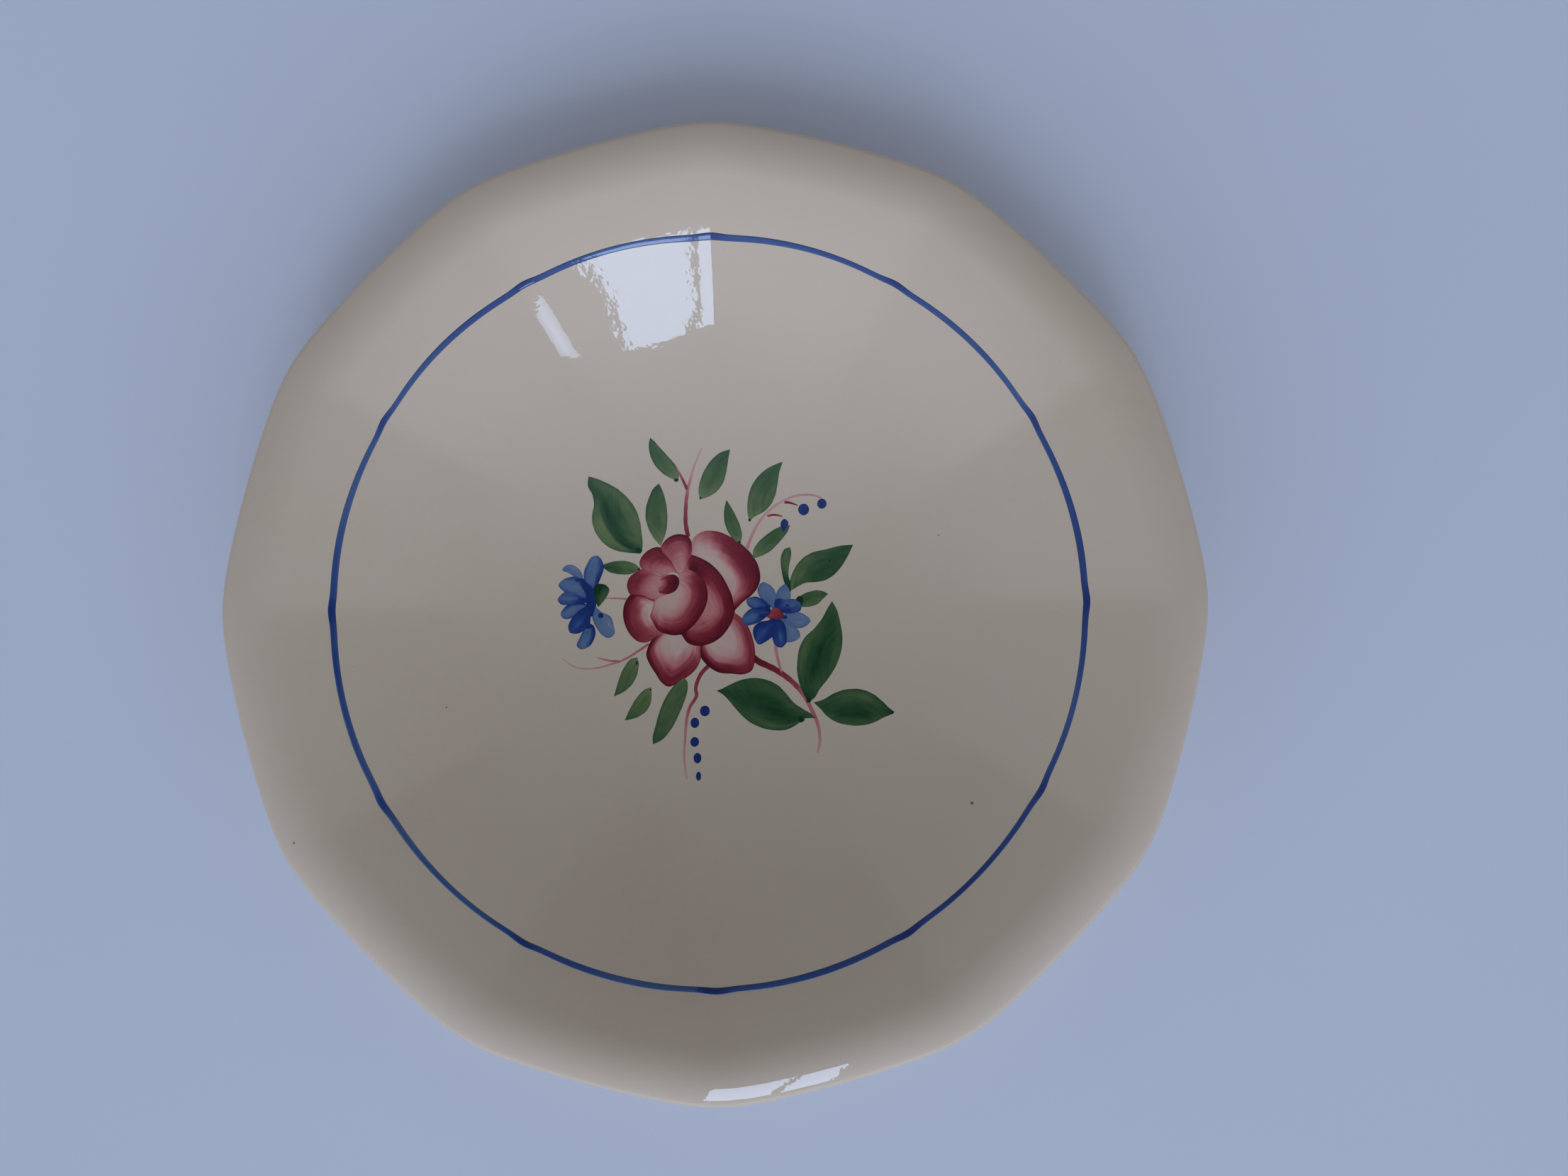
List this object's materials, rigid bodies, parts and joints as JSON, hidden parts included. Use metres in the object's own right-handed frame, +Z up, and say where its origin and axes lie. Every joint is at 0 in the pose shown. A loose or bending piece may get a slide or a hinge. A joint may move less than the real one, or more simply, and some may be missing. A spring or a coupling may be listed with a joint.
{
  "type": "hand painted ceramic plate",
  "caption": "Hollow earthenware dish with soft straight sides and a rolled lip, cream glazed, with a painted rose bouquet in the well and a thin blue line below the lip.",
  "frame": {"origin": "centre of the foot ring's resting plane", "axes": "+Z up through the middle of the well, +Y towards the top of the painted bouquet, +X to its right"},
  "size_m": [0.2794, 0.2794, 0.0475],
  "materials": {
    "fired_clay": "matte, fired earthenware, bare only on the foot ring",
    "cream_glaze": "glossy cream tin-type glaze",
    "band_blue": "glossy, hand-turned line",
    "rose_crimson": "glossy, brushed crimson wash",
    "leaf_green": "glossy, brushed blue-green wash",
    "petal_blue": "glossy, brushed cobalt wash",
    "heart_red_brown": "glossy",
    "berry_blue": "glossy",
    "stem_crimson": "glossy, thin brush line"
  },
  "bodies": {
    "root": {"plate_body": "fired_clay", "glaze_face": "cream_glaze", "glaze_back": "cream_glaze", "glaze_foot_well": "cream_glaze", "blue_band": "band_blue", "rose_bud": "rose_crimson", "rose_inner_swirl": "rose_crimson", "rose_outer_swirl": "rose_crimson", "rose_top_petal": "rose_crimson", "rose_upper_left_petal": "rose_crimson", "rose_left_petal": "rose_crimson", "rose_lower_left_petal": "rose_crimson", "rose_bottom_right_petal": "rose_crimson", "rose_bottom_left_petal": "rose_crimson", "rose_right_petal": "rose_crimson", "leaves_lower_left": "leaf_green", "leaf_bottom_right": "leaf_green", "leaf_bottom": "leaf_green", "leaf_lower_right": "leaf_green", "leaves_right": "leaf_green", "leaf_left": "leaf_green", "leaves_upper_right": "leaf_green", "leaves_top": "leaf_green", "leaf_upper_left": "leaf_green", "left_flower_calyx": "leaf_green", "left_flower_petals": "petal_blue", "right_flower_petals": "petal_blue", "right_flower_heart": "heart_red_brown", "berries": "berry_blue", "dots": "berry_blue", "stem_lower_right": "stem_crimson", "stem_bottom": "stem_crimson", "stem_lower_left": "stem_crimson", "stem_left": "stem_crimson", "stem_upper_right": "stem_crimson", "stem_top": "stem_crimson"}
  },
  "joints": []
}
